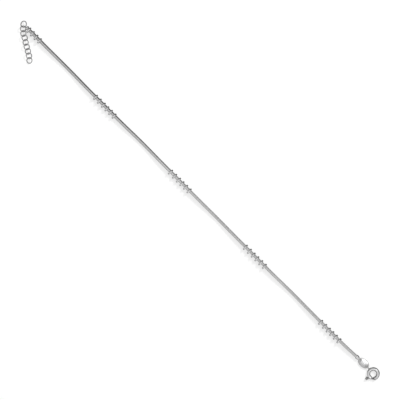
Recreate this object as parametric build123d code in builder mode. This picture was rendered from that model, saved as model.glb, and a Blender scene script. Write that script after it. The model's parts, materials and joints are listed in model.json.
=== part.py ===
from build123d import *
import math
import os

# Payal anklet in silver, unfastened and laid out on a surface: a round snake chain that carries five
# groups of ring beads, an extender of round links at one end, and a quality tag and a spring ring at
# the other. Millimetres, +Z up, surface at Z = 0, +X from the extender towards the clasp. Everything
# is modelled with X = 0 near the first group, and moved to the middle of its own base at the end.

os.makedirs("parts", exist_ok=True)

# ---- chain and beads ----
CHAIN_D = 1.6
BEAD_D = 2.95
BEAD_CROWN_R = 0.67  # the bead's section is a half round of this radius
BEAD_BORE_D = 2.24
BEAD_HANG = 0.16  # how far the loose beads hang to the chain's -Y side
BEAD_LIP_R = 0.15  # rounding where the bore meets the crown
BEAD_PITCH = 2.46
Z_BEADS = BEAD_D / 2  # the chain's axis where beads hold it up
Z_FLOOR = CHAIN_D / 2  # and where it lies on the surface
CHAIN_START_X = -5.2
CHAIN_END = Vector(211.8, 0.73, 0.98)
SLOPE_RUN = 9.8  # length in X of the chain's slope from a group down to the surface
ARC_SHARE = 0.45  # part of the shorter run that a bend of the chain uses
ARC_CLEARANCE = 0.05  # bends begin this far past the last bead

# x: middle of the group; y: how far the chain has drifted sideways there; lean: degrees that the
# beads lean on the chain; slid: how far each bead has slid from its even place
GROUPS = (
    {"x": -0.29, "y": -0.04, "lean": 4.0, "slid": (0.17, 0.08, 0.02, -0.16)},
    {"x": 46.40, "y": -0.11, "lean": 2.5, "slid": (0.01, 0.10, 0.26, 0.16, 0.10, 0.01)},
    {"x": 95.80, "y": 0.07, "lean": -3.0, "slid": (-0.08, 0.16, 0.25, 0.12, 0.04, -0.08)},
    {"x": 145.27, "y": 0.11, "lean": 2.0, "slid": (-0.16, 0.05, 0.10, 0.04, 0.13, 0.09)},
    {"x": 194.50, "y": 0.26, "lean": -2.5, "slid": (0.09, 0.27, 0.26, 0.08, 0.00, -0.11)},
)
FLOOR_DRIFT = (0.05, 0.18, 0.16, 0.34)  # sideways drift of each stretch on the surface

# ---- end caps, each with a soldered upright loop ----
CUP_OUTER_D = 1.9
CUP_BORE_D = 1.7
CUP_DEPTH = 0.33  # how far the chain goes in
CUP_FLOOR = 0.05  # gap between the chain's end and the cup's floor
CUP_SHOULDER_R = 0.2
NOSE_EDGE_R = 0.12
LOOP_R = 0.55
LOOP_WIRE_D = 0.38
EXTENDER_NOSE = 0.45
EXTENDER_TIP_D = 0.9
EXTENDER_LOOP_OUT = 0.95  # from the chain's end to the loop's middle
EXTENDER_LOOP_Z = 1.24
CLASP_NOSE = 1.10
CLASP_TIP_D = 1.5
CLASP_LOOP_Z = 0.77

# ---- extender ----
LINK_R = 1.34
LINK_WIRE_D = 0.40
LINK_PITCH = 2.15
LINK_TILT = 24  # degrees; links lie on the surface tilted to alternate sides, so that they interlock
JOINT_RING_R = 1.42
JOINT_RING_WIRE_D = 0.42
JOINT_RING_AT = Vector(-7.50, 0.05)
FIRST_PITCH = 2.18
LINK_BEARINGS = (-52, -42, -28, -33, -31, -29, -32, -40)  # degrees, from each ring to the next

# ---- quality tag ----
TAG_LENGTH = 5.92
TAG_WIDTH = 3.7
TAG_T = 0.30
TAG_CAMBER = 0.20  # rise of the middle over the long edges
TAG_HOLE_D = 0.72
TAG_HOLE_1 = Vector(213.835, 0.75)  # the end cap's loop goes through it
TAG_HOLE_2 = Vector(217.95, 0.97)  # the spring ring's eye goes through it
TAG_END_MARGIN = 0.755  # from the tag's end to the middle of the first hole
TAG_Z = 0.70
TAG_ROLL = -6
TAG_RIM_R = 0.09

# ---- spring ring and its bolt ----
RING_CENTRE = Vector(222.73, 0.58, 0.77)
RING_R = 2.23
TUBE_D = 1.54
TUBE_BORE_D = 1.1
MOUTH_FROM, MOUTH_TO = 288, 320  # degrees about the ring's middle
SLOT_FROM, SLOT_TO = 206, 270
SLOT_H = 0.72
EYE_R = 0.56
EYE_WIRE_D = 0.40
EYE_Z = -0.01  # the eye's middle over the ring's
EYE_ROOT = 3.02  # from the ring's middle to the eye's soldered side
BOLT_D = 0.95
BOLT_FROM, BOLT_TO = 238, 326
BOLT_TIP_R = 0.15
TRIGGER_AT = 261.3
TRIGGER_STUB_D = 0.56
TRIGGER_ROOT = 3.08
TRIGGER_TIP = 4.50
TRIGGER_ROOT_W = 1.5
TRIGGER_TIP_W = 1.15
TRIGGER_T = 1.0
TRIGGER_EDGE_R = 0.2

pieces = []


def finish(part, label):
    """Names a piece and keeps it for the export."""
    part.label = label
    pieces.append(part)


def bearing(degrees):
    """The unit vector at this angle from +X in plan."""
    turn = math.radians(degrees)
    return Vector(math.cos(turn), math.sin(turn), 0)


# ---- where the beads are, and the chain's route through them ----


def bead_places(group):
    """X of each bead of a group."""
    count = len(group["slid"])
    first = group["x"] - BEAD_PITCH * (count - 1) / 2
    return [first + BEAD_PITCH * i + slid for i, slid in enumerate(group["slid"])]


def chain_route():
    """Straight runs through the groups, slopes down from them, and a run on the surface between groups."""
    reach = BEAD_CROWN_R + ARC_CLEARANCE + ARC_SHARE * SLOPE_RUN
    route = [Vector(CHAIN_START_X, GROUPS[0]["y"], Z_BEADS)]
    for group, following, drift in zip(GROUPS, GROUPS[1:], FLOOR_DRIFT):
        leaves = bead_places(group)[-1] + reach
        arrives = bead_places(following)[0] - reach
        route.append(Vector(leaves, group["y"], Z_BEADS))
        route.append(Vector(leaves + SLOPE_RUN, drift, Z_FLOOR))
        route.append(Vector(arrives - SLOPE_RUN, drift, Z_FLOOR))
        route.append(Vector(arrives, following["y"], Z_BEADS))
    last_face = bead_places(GROUPS[-1])[-1] + BEAD_CROWN_R + ARC_CLEARANCE
    last_corner = (last_face + ARC_SHARE * CHAIN_END.X) / (1 + ARC_SHARE)
    route.append(Vector(last_corner, GROUPS[-1]["y"], Z_BEADS))
    route.append(CHAIN_END)
    return route


def bend_radii(route):
    """The largest radius that the two runs at each corner leave room for."""
    radii = []
    for before, corner, after in zip(route, route[1:], route[2:]):
        turn = math.radians((corner - before).get_angle(after - corner))
        shorter = min((corner - before).length, (after - corner).length)
        radii.append(ARC_SHARE * shorter / math.tan(turn / 2))
    return radii


def make_snake_chain(route):
    """The chain's outer skin as one solid round, along straight runs and tangent arcs."""
    radii = bend_radii(route)
    with BuildPart() as snake_chain:
        with BuildLine() as path:
            FilletPolyline(*route, radius=radii)
        with BuildSketch(Plane(origin=route[0], z_dir=route[1] - route[0])):
            Circle(CHAIN_D / 2)
        sweep(path=path.wire())
    finish(snake_chain.part, "snake_chain")
    section = math.pi * CHAIN_D**2 / 4
    print("chain length", round(path.wire().length, 2), "radii", [round(r) for r in radii])
    print("chain volume / (section x length)", snake_chain.part.volume / section / path.wire().length)


def make_ring_bead(label, centre, lean):
    """A half-round ring that is drilled for the chain, its bore turned by lean from +X."""
    bore = bearing(lean)
    with BuildPart() as ring_bead:
        with BuildSketch(Plane(origin=centre, x_dir=bore, z_dir=(0, 0, 1))) as section:
            with BuildLine():
                seat = BEAD_BORE_D / 2
                drop = BEAD_D / 2 - BEAD_CROWN_R
                half = math.sqrt(BEAD_CROWN_R**2 - (seat - drop) ** 2)
                crown = ThreePointArc((-half, seat), (0, BEAD_D / 2), (half, seat))
                Line(crown @ 1, crown @ 0)
            make_face()
            fillet(section.vertices(), radius=BEAD_LIP_R)
        revolve(axis=Axis(centre, bore))
    finish(ring_bead.part, label)


def make_beads():
    """All groups of ring beads."""
    for g, group in enumerate(GROUPS, start=1):
        for i, x in enumerate(bead_places(group), start=1):
            centre = Vector(x, group["y"] - BEAD_HANG, Z_BEADS)
            make_ring_bead(f"ring_bead_{g}_{i}", centre, group["lean"])


# ---- the two ends of the chain ----


def make_end_cap(label, chain_end, outward, nose, tip_d, loop_centre):
    """A cup over the chain's end that narrows to a nose, with an upright loop soldered to it."""
    outward = outward.normalized()
    wall = CUP_FLOOR + (CUP_OUTER_D - CUP_BORE_D) / 2
    cup_plane = Plane(origin=chain_end, x_dir=outward, z_dir=outward.cross(Vector(0, 1, 0)))
    loop_plane = Plane(origin=loop_centre, z_dir=outward.cross(Vector(0, 0, 1)))
    with BuildPart() as end_cap:
        with BuildSketch(cup_plane) as section:
            with BuildLine():
                Polyline(
                    (CUP_FLOOR, 0),
                    (CUP_FLOOR, CUP_BORE_D / 2),
                    (-CUP_DEPTH, CUP_BORE_D / 2),
                    (-CUP_DEPTH, CUP_OUTER_D / 2),
                    (wall, CUP_OUTER_D / 2),
                    (nose, tip_d / 2),
                    (nose, 0),
                    close=True,
                )
            make_face()
            shoulder = section.vertices().group_by(Axis.Y)[-1].sort_by(Axis.X)[-1]
            fillet(shoulder, radius=CUP_SHOULDER_R)
            tip = section.vertices().group_by(Axis.X)[-1].sort_by(Axis.Y)[-1]
            fillet(tip, radius=NOSE_EDGE_R)
        revolve(axis=Axis(chain_end, outward))
        with Locations(loop_plane):
            Torus(LOOP_R, LOOP_WIRE_D / 2)
    finish(end_cap.part, label)


def make_end_caps(route):
    """The cap that holds the extender and the cap that holds the quality tag."""
    start_out = route[0] - route[1]
    end_out = route[-1] - route[-2]
    extender_loop = route[0] + start_out.normalized() * EXTENDER_LOOP_OUT
    extender_loop.Z = EXTENDER_LOOP_Z
    clasp_loop = Vector(TAG_HOLE_1.X - LOOP_R, TAG_HOLE_1.Y, CLASP_LOOP_Z)
    make_end_cap("extender_end_cap", route[0], start_out, EXTENDER_NOSE, EXTENDER_TIP_D, extender_loop)
    make_end_cap("clasp_end_cap", route[-1], end_out, CLASP_NOSE, CLASP_TIP_D, clasp_loop)


# ---- extender ----


def make_round_link(label, at, radius, wire_d, chain_bearing, side):
    """A round link that lies on the surface, with the side of the chain given by side (+1 left) raised."""
    raised = bearing(chain_bearing + 90 * side)
    tilt = math.radians(LINK_TILT)
    centre = Vector(at.X, at.Y, radius * math.sin(tilt) + wire_d / 2)
    normal = Vector(0, 0, 1) * math.cos(tilt) - raised * math.sin(tilt)
    with BuildPart(Plane(origin=centre, z_dir=normal)) as round_link:
        Torus(radius, wire_d / 2)
    finish(round_link.part, label)


def make_extender():
    """The joint ring and the links, each turned to the mean of the bearings before and after it."""
    at = JOINT_RING_AT
    make_round_link("joint_ring", at, JOINT_RING_R, JOINT_RING_WIRE_D, LINK_BEARINGS[0], 1)
    side = -1
    for i, to_link in enumerate(LINK_BEARINGS, start=1):
        onward = LINK_BEARINGS[min(i, len(LINK_BEARINGS) - 1)]
        at = at + bearing(to_link) * (FIRST_PITCH if i == 1 else LINK_PITCH)
        mean = (to_link + onward) / 2
        make_round_link(f"extender_link_{i}", at, LINK_R, LINK_WIRE_D, mean, side)
        side = -side


# ---- quality tag ----


def make_quality_tag():
    """An oval plate with a hole near each end, arched across its width."""
    along = (TAG_HOLE_2 - TAG_HOLE_1).normalized()
    middle = TAG_HOLE_1 + along * (TAG_LENGTH / 2 - TAG_END_MARGIN)
    raised = Vector(0, 0, 1).rotate(Axis((0, 0, 0), along), TAG_ROLL)
    face = Plane(origin=(middle.X, middle.Y, TAG_Z), x_dir=along, z_dir=raised)
    first = TAG_END_MARGIN - TAG_LENGTH / 2
    second = first + (TAG_HOLE_2 - TAG_HOLE_1).length
    arch_r = ((TAG_WIDTH / 2) ** 2 + TAG_CAMBER**2) / (2 * TAG_CAMBER)
    end_face = Plane(origin=face.origin, x_dir=face.y_dir, z_dir=face.x_dir)
    with BuildPart() as quality_tag:
        with BuildSketch(end_face):
            with Locations((0, -arch_r)):
                Circle(arch_r + TAG_T / 2)
                Circle(arch_r - TAG_T / 2, mode=Mode.SUBTRACT)
            Rectangle(TAG_WIDTH * 2, TAG_WIDTH, mode=Mode.INTERSECT)
        extrude(amount=TAG_LENGTH, both=True)
        with BuildSketch(face):
            Ellipse(TAG_LENGTH / 2, TAG_WIDTH / 2)
            with Locations((first, 0), (second, 0)):
                Circle(TAG_HOLE_D / 2, mode=Mode.SUBTRACT)
        extrude(amount=TAG_WIDTH, both=True, mode=Mode.INTERSECT)
        fillet(quality_tag.edges().filter_by(lambda e: e.length > TAG_LENGTH), radius=TAG_RIM_R)
    finish(quality_tag.part, "quality_tag")


# ---- spring ring ----


def ring_section(degrees):
    """The radial plane of the spring ring at this angle: local X outward, local Y up."""
    outward = bearing(degrees)
    return Plane(origin=RING_CENTRE, x_dir=outward, z_dir=outward.cross(Vector(0, 0, 1)))


def eye_angle():
    """The eye points at the tag's second hole."""
    to_hole = TAG_HOLE_2 - Vector(RING_CENTRE.X, RING_CENTRE.Y)
    return math.degrees(math.atan2(to_hole.Y, to_hole.X))


def make_spring_ring():
    """A hollow ring with a mouth, a slot in its outer wall for the trigger, and the eye."""
    ring_axis = Axis(RING_CENTRE, (0, 0, 1))
    closed = 360 - (MOUTH_TO - MOUTH_FROM)
    hole_2 = (TAG_HOLE_2 - Vector(RING_CENTRE.X, RING_CENTRE.Y)).length
    eye_span = hole_2 - EYE_ROOT - 2 * EYE_R
    eye_middle = (hole_2 + EYE_ROOT) / 2
    with BuildPart() as spring_ring:
        with BuildSketch(ring_section(MOUTH_TO)):
            with Locations((RING_R, 0)):
                Circle(TUBE_D / 2)
        revolve(axis=ring_axis, revolution_arc=closed)
        with BuildSketch(ring_section(eye_angle()), mode=Mode.PRIVATE) as eye_outline:
            with Locations((eye_middle, EYE_Z)):
                SlotCenterToCenter(eye_span, 2 * EYE_R)
        eye_path = eye_outline.sketch.face().outer_wire()
        with BuildSketch(Plane(origin=eye_path @ 0, z_dir=eye_path % 0)):
            Circle(EYE_WIRE_D / 2)
        sweep(path=eye_path)
        with BuildSketch(ring_section(MOUTH_TO)):
            with Locations((RING_R, 0)):
                Circle(TUBE_BORE_D / 2)
        revolve(axis=ring_axis, revolution_arc=closed, mode=Mode.SUBTRACT)
        with BuildSketch(ring_section(SLOT_FROM)):
            with Locations((RING_R + TUBE_D / 2, 0)):
                Rectangle(TUBE_D, SLOT_H)
        revolve(axis=ring_axis, revolution_arc=SLOT_TO - SLOT_FROM, mode=Mode.SUBTRACT)
    finish(spring_ring.part, "spring_ring")


def make_clasp_bolt():
    """The curved bolt inside the ring, with the trigger that stands out through the slot."""
    ring_axis = Axis(RING_CENTRE, (0, 0, 1))
    outward = bearing(TRIGGER_AT)
    tab_plane = Plane(origin=RING_CENTRE, x_dir=outward, z_dir=(0, 0, 1))
    with BuildPart() as clasp_bolt:
        with BuildSketch(ring_section(BOLT_FROM)):
            with Locations((RING_R, 0)):
                Circle(BOLT_D / 2)
        revolve(axis=ring_axis, revolution_arc=BOLT_TO - BOLT_FROM)
        fillet(clasp_bolt.edges().filter_by(GeomType.CIRCLE), radius=BOLT_TIP_R)
        with BuildSketch(Plane(origin=RING_CENTRE + outward * RING_R, z_dir=outward)):
            Circle(TRIGGER_STUB_D / 2)
        extrude(amount=TRIGGER_ROOT + TRIGGER_EDGE_R - RING_R)
    with BuildPart() as trigger:
        with BuildSketch(tab_plane) as outline:
            with BuildLine():
                Polyline(
                    (TRIGGER_ROOT, TRIGGER_ROOT_W / 2),
                    (TRIGGER_TIP, TRIGGER_TIP_W / 2),
                    (TRIGGER_TIP, -TRIGGER_TIP_W / 2),
                    (TRIGGER_ROOT, -TRIGGER_ROOT_W / 2),
                    close=True,
                )
            make_face()
            fillet(outline.vertices().group_by(Axis.X)[-1], radius=TRIGGER_TIP_W / 3)
        extrude(amount=TRIGGER_T / 2, both=True)
        fillet(trigger.faces().filter_by(Axis.Z).edges(), radius=TRIGGER_EDGE_R)
    with BuildPart() as whole:
        add(clasp_bolt)
        add(trigger)
    finish(whole.part, "clasp_bolt")


# ---- the whole anklet ----

route = chain_route()
make_snake_chain(route)
make_beads()
make_end_caps(route)
make_extender()
make_quality_tag()
make_spring_ring()
make_clasp_bolt()

boxes = [piece.bounding_box() for piece in pieces]
low = Vector(min(b.min.X for b in boxes), min(b.min.Y for b in boxes), min(b.min.Z for b in boxes))
high = Vector(max(b.max.X for b in boxes), max(b.max.Y for b in boxes), max(b.max.Z for b in boxes))
origin = Vector((low.X + high.X) / 2, (low.Y + high.Y) / 2, low.Z)
for piece in pieces:
    placed = piece.moved(Location(-origin))
    placed.label = piece.label
    export_step(placed, f"parts/{placed.label}.step")
print("size", high - low, "moved by", -origin)
print("ring centre", RING_CENTRE - origin, "eye at", round(eye_angle(), 2))
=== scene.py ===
"""Payal anklet in silver, as an add-on: a snake chain of curved plates, ring beads, an extender of round
links, end caps, a quality tag and a spring ring, on a studio floor. Lengths are in metres."""

import json
import math

import bmesh
import bpy
import numpy as np
from bpy.props import FloatProperty, FloatVectorProperty, IntProperty, PointerProperty
from bpy.types import Operator, Panel, PropertyGroup
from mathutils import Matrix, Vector


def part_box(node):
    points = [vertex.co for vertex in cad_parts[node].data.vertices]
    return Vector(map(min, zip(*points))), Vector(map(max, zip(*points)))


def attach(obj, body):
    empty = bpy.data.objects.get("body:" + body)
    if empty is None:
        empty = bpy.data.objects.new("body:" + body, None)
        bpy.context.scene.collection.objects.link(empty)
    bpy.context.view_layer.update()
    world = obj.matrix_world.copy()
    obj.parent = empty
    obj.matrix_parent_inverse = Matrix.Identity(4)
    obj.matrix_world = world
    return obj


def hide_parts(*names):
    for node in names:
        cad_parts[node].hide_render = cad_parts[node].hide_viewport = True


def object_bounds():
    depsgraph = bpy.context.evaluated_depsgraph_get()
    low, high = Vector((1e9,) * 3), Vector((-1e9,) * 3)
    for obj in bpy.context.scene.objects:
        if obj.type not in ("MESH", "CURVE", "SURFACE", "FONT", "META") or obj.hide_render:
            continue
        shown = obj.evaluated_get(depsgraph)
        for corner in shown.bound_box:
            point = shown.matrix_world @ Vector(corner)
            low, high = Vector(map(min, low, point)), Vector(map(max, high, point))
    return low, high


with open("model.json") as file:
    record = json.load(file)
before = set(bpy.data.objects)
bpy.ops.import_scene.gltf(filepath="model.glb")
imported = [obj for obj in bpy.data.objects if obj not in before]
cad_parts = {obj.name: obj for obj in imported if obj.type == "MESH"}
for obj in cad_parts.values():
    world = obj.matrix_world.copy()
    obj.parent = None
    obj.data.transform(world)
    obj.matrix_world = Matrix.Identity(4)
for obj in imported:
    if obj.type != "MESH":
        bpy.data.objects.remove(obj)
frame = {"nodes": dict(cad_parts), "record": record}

bl_info = {
    "name": "Payal anklet",
    "version": (1, 0, 0),
    "blender": (4, 5, 0),
    "location": "3D View > Sidebar > Anklet",
    "description": "Makes a silver payal anklet and its studio",
    "category": "Add Mesh",
}

BODY = "anklet"
TRIGGER_BODY = "trigger"
CAD_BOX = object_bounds()
UP = np.array([0.0, 0.0, 1.0])
FULL_TURN = 2 * math.pi


# ---- settings ----


def length(name, description, default):
    """A length in metres that a user may change."""
    return FloatProperty(
        name=name, description=description, default=default, min=0, precision=5, unit="LENGTH",
        subtype="DISTANCE",
    )


def slant(name, description, degrees):
    """An angle, given in degrees."""
    return FloatProperty(name=name, description=description, default=math.radians(degrees), subtype="ANGLE")


def share(name, description, default):
    """A plain number from 0 to 1."""
    return FloatProperty(name=name, description=description, default=default, min=0, max=1, subtype="FACTOR")


def colour(name, description, default):
    """A linear colour."""
    return FloatVectorProperty(
        name=name, description=description, default=default, size=3, min=0, max=1, subtype="COLOR"
    )


class MetalSettings(PropertyGroup):
    silver: colour("Silver", "Colour of clean plated silver", (0.80, 0.80, 0.805))
    # The tarnish colour is also the colour of the painted shade on the tag, the clasp and the trigger.
    tarnish_and_shade: colour("TarnishAndShadeColour", "Colour of tarnished silver", (0.30, 0.29, 0.28))
    polish: share("Roughness", "Roughness of polished silver", 0.13)
    grain: length("Scratch spacing", "Distance between the finest scratches", 0.00006)


class ChainSettings(PropertyGroup):
    diameter: length("Diameter", "Outer diameter of the snake chain", 0.0016)
    pitch: length("Plate pitch", "Distance from one plate to the next", 0.00047)
    wave: length("Plate wave", "How far a plate's edge runs forward and back", 0.00015)
    groove: length("Groove", "Depth of the joint between two plates", 0.00008)
    flat: share("Flattening", "Share of the radius that the four sides are flattened by", 0.14)
    slope: length("Slope", "Length of the slope from a bead group to the surface", 0.0098)
    columns: IntProperty(name="Columns", description="Points round the chain", default=24, min=8, max=32)


class BeadSettings(PropertyGroup):
    diameter: length("Diameter", "Outer diameter of a ring bead", 0.00295)
    crown: length("Crown radius", "Radius of the bead's half-round section", 0.00067)
    bore: length("Bore", "Diameter of the hole for the chain", 0.00224)
    hang: length("Hang", "How far the beads hang to -Y of the chain", 0.00016)
    lip: length("Lip radius", "Rounding where the bore meets the crown", 0.00015)
    columns: IntProperty(name="Columns", description="Points round a bead", default=64, min=16, max=96)


class LinkSettings(PropertyGroup):
    radius: length("Link radius", "Radius of a link's middle line", 0.00134)
    wire: length("Link wire", "Thickness of a link's wire", 0.0004)
    joint_radius: length("Joint ring radius", "Radius of its middle line", 0.00142)
    joint_wire: length("Joint ring wire", "Thickness of its wire", 0.00042)
    tilt: slant("Tilt", "How far each link leans over its neighbour", 24)
    solder: share("Solder", "How far the soldered joint swells the wire", 0.10)


class CapSettings(PropertyGroup):
    outer: length("Cup", "Outer diameter of the cup", 0.0019)
    bore: length("Bore", "Inner diameter of the cup", 0.0017)
    depth: length("Depth", "How far the cup reaches over the chain", 0.00033)
    wall: length("Floor", "From the chain's end to the cup's shoulder", 0.00015)
    extender_tip: length("Extender tip", "Diameter of the nose's tip at the extender", 0.0009)
    extender_nose: length("Extender nose", "From the chain's end to the nose's tip", 0.00045)
    clasp_tip: length("Clasp tip", "Diameter of the nose's tip at the clasp", 0.0015)
    clasp_nose: length("Clasp nose", "From the chain's end to the nose's tip", 0.0011)
    loop: length("Loop radius", "Radius of the loop's middle line", 0.00055)
    wire: length("Loop wire", "Thickness of the loop's wire", 0.00038)


class TagSettings(PropertyGroup):
    length: length("Length", "Length of the oval plate", 0.00592)
    width: length("Width", "Width of the oval plate", 0.0037)
    thickness: length("Thickness", "Thickness of the plate", 0.0003)
    camber: length("Camber", "Rise of the middle over the long edges", 0.0002)
    hole: length("Hole", "Diameter of each hole", 0.00072)
    margin: length("First margin", "From the plate's end to the first hole's middle", 0.000755)
    hole_span: length("Hole span", "Between the holes' middles", 0.004121)
    roll: slant("Roll", "Lean of the plate", -6)
    rim: length("Rim radius", "Rounding of the plate's rim", 0.00009)


class ClaspSettings(PropertyGroup):
    radius: length("Ring radius", "Radius of the tube's middle line", 0.00223)
    tube: length("Tube", "Outer diameter of the tube", 0.00154)
    bore: length("Tube bore", "Inner diameter of the tube", 0.0011)
    mouth_from: IntProperty(name="Mouth from", description="Degrees where the mouth begins", default=288)
    mouth_to: IntProperty(name="Mouth to", description="Degrees where the mouth ends", default=320)
    slot_from: IntProperty(name="Slot from", description="Degrees where the slot begins", default=206)
    slot_to: IntProperty(name="Slot to", description="Degrees where the slot ends", default=270)
    eye: length("Eye radius", "Radius of the eye's rounded ends", 0.00056)
    eye_wire: length("Eye wire", "Thickness of the eye's wire", 0.0004)
    eye_root: length("Eye root", "From the ring's middle to the eye's soldered side", 0.00302)
    eye_tip: length("Eye tip", "From the ring's middle to the eye's far side", 0.004796)
    bolt: length("Bolt", "Thickness of the bolt", 0.00095)
    bolt_from: FloatProperty(name="Bolt from", description="Degrees where the bolt begins", default=238)
    bolt_to: FloatProperty(name="Bolt to", description="Degrees where the bolt ends", default=326)
    trigger_at: FloatProperty(name="Trigger", description="Degrees where the trigger stands", default=261.3)
    stub: length("Stub", "Thickness of the trigger's stub", 0.00056)
    tab_root: length("Tab root", "From the ring's middle to the trigger's tab", 0.00308)
    tab_tip: length("Tab tip", "From the ring's middle to the tab's far end", 0.0045)
    root_width: length("Root width", "Width of the tab beside the ring", 0.0015)
    tip_width: length("Tip width", "Width of the tab at its far end", 0.00115)
    tab_thickness: length("Tab thickness", "Thickness of the tab", 0.001)


class StageSettings(PropertyGroup):
    floor: colour("Floor", "Colour of the floor", (0.86, 0.86, 0.86))
    span: length("View width", "Width that the camera takes in", 0.1864)
    turn: slant("Camera turn", "Turn of the camera about the vertical", 45.13)
    height: length("Camera height", "Height of the camera over the floor", 1.5)
    aim: FloatVectorProperty(
        name="Aim", description="Point in plan under the camera", default=(0.00012, 0.0044), size=2,
        precision=5, unit="LENGTH", subtype="COORDINATES",
    )


# ---- surfaces as arrays ----


def grid_quads(rows, columns, ring_rows=False, ring_columns=True):
    """Quads between neighbouring points of a grid, closed on itself in either direction where asked."""
    r = np.arange(rows if ring_rows else rows - 1)[:, None]
    c = np.arange(columns if ring_columns else columns - 1)[None, :]
    down, across = (r + 1) % rows, (c + 1) % columns
    corners = (r * columns + c, down * columns + c, down * columns + across, r * columns + across)
    return np.stack(np.broadcast_arrays(*corners), axis=-1).reshape(-1, 4)


def unit(v):
    """The vectors of an array, or one vector, at length 1."""
    v = np.asarray(v, float)
    return v / np.linalg.norm(v, axis=-1, keepdims=True)


def bearing_of(degrees):
    """Unit vectors in plan at these angles from +X."""
    turn = np.radians(degrees)
    return np.stack([np.cos(turn), np.sin(turn), np.zeros_like(turn)], axis=-1)


def tube(path, side, over, radius, columns, closed):
    """A round section carried along a path. Point = path + radius x (cos a x side + sin a x over), where side
    and over stand square to the path at each of its points and radius may change along it. An open tube
    ends in a point of its own at each end, so it is closed too."""
    angle = np.arange(columns) * FULL_TURN / columns
    radius = np.broadcast_to(np.asarray(radius, float), (len(path),))
    ring = np.cos(angle)[None, :, None] * side[:, None, :] + np.sin(angle)[None, :, None] * over[:, None, :]
    points = path[:, None, :] + radius[:, None, None] * ring
    if closed:
        return points.reshape(-1, 3), grid_quads(len(path), columns, ring_rows=True)
    first = np.repeat(path[:1, None, :], columns, axis=1)
    last = np.repeat(path[-1:, None, :], columns, axis=1)
    points = np.concatenate([first, points, last])
    return points.reshape(-1, 3), grid_quads(len(points), columns)


def turned(profile, origin, axis, columns, ring=True):
    """A section turned round an axis. The profile's columns are distance along the axis and radius, and
    point = origin + along x axis + radius x (cos a x side + sin a x over)."""
    axis = unit(axis)
    side = unit(np.cross(axis, UP if abs(axis[2]) < 0.9 else [1.0, 0.0, 0.0]))
    over = np.cross(side, axis)
    angle = np.arange(columns) * FULL_TURN / columns
    ring_out = np.cos(angle)[:, None] * side + np.sin(angle)[:, None] * over
    points = origin + profile[:, None, :1] * axis + profile[:, None, 1:] * ring_out[None]
    return points.reshape(-1, 3), grid_quads(len(profile), columns, ring_rows=ring)


def ring_tube(centre, normal, radius, wire, columns, around, swell=0.0, seam=0.0):
    """A wire ring: a round section of radius wire / 2 carried round a circle. The wire swells by a share at
    the soldered seam, as exp(-(angle from the seam / 0.16)^2)."""
    normal = unit(normal)
    u = unit(np.cross(normal, [0.0, 1.0, 0.0]))
    v = np.cross(normal, u)
    angle = np.arange(columns) * FULL_TURN / columns
    out = np.cos(angle)[:, None] * u + np.sin(angle)[:, None] * v
    off_seam = (angle - seam + math.pi) % FULL_TURN - math.pi
    thick = wire / 2 * (1 + swell * np.exp(-((off_seam / 0.16) ** 2)))
    over = np.broadcast_to(normal, out.shape)
    return tube(centre + radius * out, out, over, thick, around, closed=True)


def egg(centre, axes, columns=20, rows=12):
    """A closed egg of three half axes, the rows of the array axes: centre + cos b x (cos a x first + sin a x
    second) + sin b x third."""
    a = np.arange(columns) * FULL_TURN / columns
    b = np.linspace(-math.pi / 2, math.pi / 2, rows)
    flat = np.cos(a)[:, None] * axes[0] + np.sin(a)[:, None] * axes[1]
    points = centre + np.cos(b)[:, None, None] * flat[None] + np.sin(b)[:, None, None] * axes[2]
    return points.reshape(-1, 3), grid_quads(rows, columns)


def make_mesh(name, shells, weld=1e-8):
    """One mesh of several (points, quads) shells. Points that coincide are merged, so that poles and seams
    close, and the faces then turn outwards."""
    starts = np.cumsum([0] + [len(points) for points, _ in shells[:-1]])
    points = np.concatenate([points for points, _ in shells])
    quads = np.concatenate([quads + start for (_, quads), start in zip(shells, starts)])
    mesh = bpy.data.meshes.new(name)
    mesh.from_pydata(points, [], quads)
    tidy = bmesh.new()
    tidy.from_mesh(mesh)
    bmesh.ops.remove_doubles(tidy, verts=tidy.verts, dist=weld)
    bmesh.ops.recalc_face_normals(tidy, faces=tidy.faces)
    tidy.to_mesh(mesh)
    tidy.free()
    mesh.polygons.foreach_set("use_smooth", np.ones(len(mesh.polygons), bool))
    return mesh


def vertex_points(mesh):
    """The mesh's vertices as an array of points."""
    points = np.empty(len(mesh.vertices) * 3)
    mesh.vertices.foreach_get("co", points)
    return points.reshape(-1, 3)


def write_mask(mesh, name, values):
    """A value from 0 to 1 at each vertex, which the material reads by its name."""
    mask = mesh.attributes.new(name, "FLOAT", "POINT")
    mask.data.foreach_set("value", np.clip(values, 0, 1).astype(np.float32))


def add_piece(name, mesh, material, nodes, body=BODY):
    """Puts a finished piece in the scene: it rides on its body, stands for its CAD nodes and has a slot."""
    piece = bpy.data.objects.new(name, mesh)
    bpy.context.scene.collection.objects.link(piece)
    mesh.materials.append(material)
    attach(piece, body)
    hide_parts(*nodes)
    return piece


def thicken(sheet, thickness, rounding, segments, sharp):
    """Gives a sheet its thickness and rounds its edges that are sharper than an angle in degrees."""
    wall = sheet.modifiers.new("wall", "SOLIDIFY")
    wall.thickness = thickness
    wall.offset = 0
    edge = sheet.modifiers.new("edge", "BEVEL")
    edge.width = rounding
    edge.segments = segments
    edge.limit_method = "ANGLE"
    edge.angle_limit = math.radians(sharp)
    edge.harden_normals = True


def middle(node):
    """The middle of a CAD node's box."""
    low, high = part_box(node)
    return np.array((low + high) / 2)


# ---- shared shader groups ----


def new_group(name, *sockets):
    """An empty shader group with the given (name, direction, kind) sockets, and its two ends."""
    group = bpy.data.node_groups.new(name, "ShaderNodeTree")
    for label, direction, kind in sockets:
        group.interface.new_socket(label, in_out=direction, socket_type="NodeSocket" + kind)
    return group, group.nodes.new("NodeGroupInput"), group.nodes.new("NodeGroupOutput")


def new_node(tree, kind):
    """A new shader node."""
    return tree.nodes.new("ShaderNode" + kind)


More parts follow.
